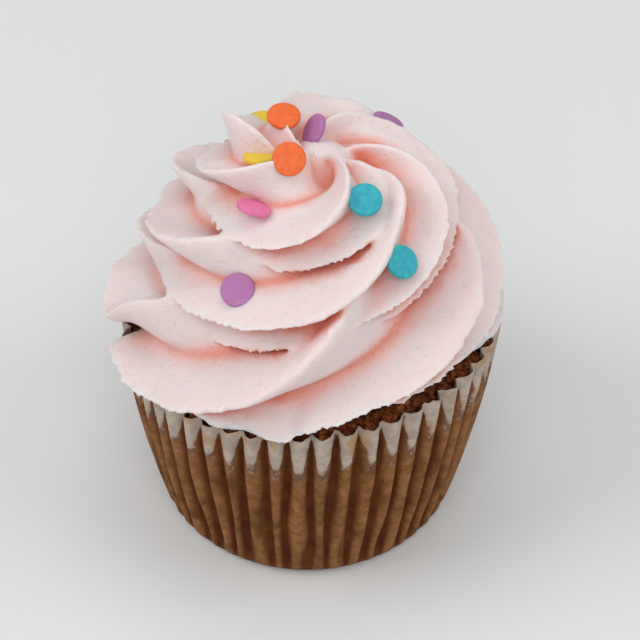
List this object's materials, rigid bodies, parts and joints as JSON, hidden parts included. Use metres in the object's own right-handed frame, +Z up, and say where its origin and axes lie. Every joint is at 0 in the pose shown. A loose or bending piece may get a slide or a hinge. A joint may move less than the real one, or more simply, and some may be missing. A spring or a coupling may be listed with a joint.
{
  "type": "cupcake",
  "caption": "Small sponge cake in a fluted paper case with a swirl of piped frosting.",
  "frame": {"origin": "centre of the flat base of the paper case", "axes": "+Z up, -Y towards the side that faces the viewer, +X the side where the rim stands higher"},
  "size_m": [0.0694, 0.0689, 0.0781],
  "materials": {
    "case_paper": "greaseproof paper, browned by the cake behind it",
    "sponge_crumb": "matt dark crumb",
    "frosting_pink": "satin whipped frosting"
  },
  "bodies": {
    "root": {"paper_case": "case_paper", "sponge": "sponge_crumb", "frosting": "frosting_pink"}
  },
  "joints": []
}
